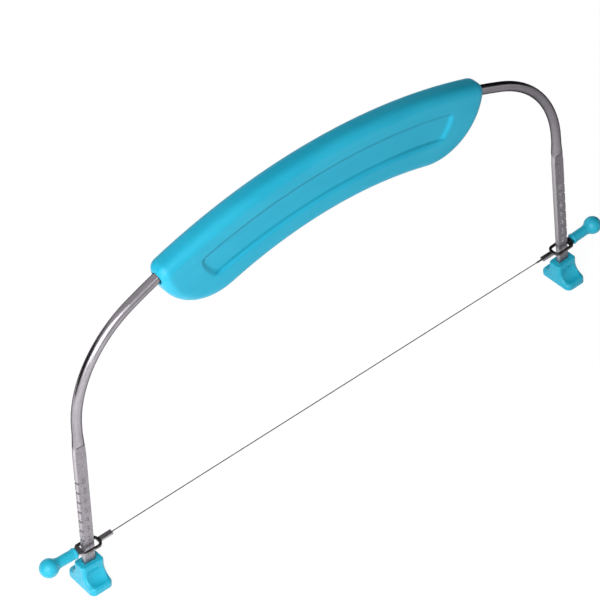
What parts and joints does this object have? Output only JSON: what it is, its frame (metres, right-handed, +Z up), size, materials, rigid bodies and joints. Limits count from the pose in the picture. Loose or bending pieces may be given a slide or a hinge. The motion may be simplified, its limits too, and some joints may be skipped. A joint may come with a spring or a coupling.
{
  "type": "wire cake leveler",
  "caption": "Hand-held bow with a taut cutting wire that levels or splits a cake; the wire clips step up and down the notched legs.",
  "frame": {"origin": "on the table, midway between the two feet and midway from front to back", "axes": "+X along the cutting wire, +Y from front to back, +Z up from the table to the handle"},
  "size_m": [0.3526, 0.0204, 0.1746],
  "materials": {
    "rod_steel": "satin",
    "clip_steel": "dark satin",
    "wire_steel": "bright",
    "blue_plastic": "satin"
  },
  "bodies": {
    "bow": {"bow_rod": "rod_steel", "handle_front_shell": "blue_plastic", "handle_back_shell": "blue_plastic", "left_foot": "blue_plastic", "right_foot": "blue_plastic"},
    "left_hook": {"left_clip": "clip_steel", "left_knob": "blue_plastic"},
    "right_hook": {"right_clip": "clip_steel", "right_knob": "blue_plastic"},
    "wire": {"cutting_wire": "wire_steel"}
  },
  "joints": [
    {"name": "left_clip_height", "type": "slide", "parent": "bow", "child": "left_hook", "axis": [0.061, 0, 0.9981], "range_m": [0, 0.042]},
    {"name": "right_clip_height", "type": "slide", "parent": "bow", "child": "right_hook", "axis": [-0.061, 0, 0.9981], "range_m": [0, 0.042]},
    {"name": "wire_height", "type": "slide", "parent": "bow", "child": "wire", "axis": [0, 0, 1], "range_m": [0, 0.042]}
  ],
  "couplings": [
    {"joint": "right_clip_height", "follows": "left_clip_height", "ratio": 1},
    {"joint": "wire_height", "follows": "left_clip_height", "ratio": 0.99813}
  ]
}
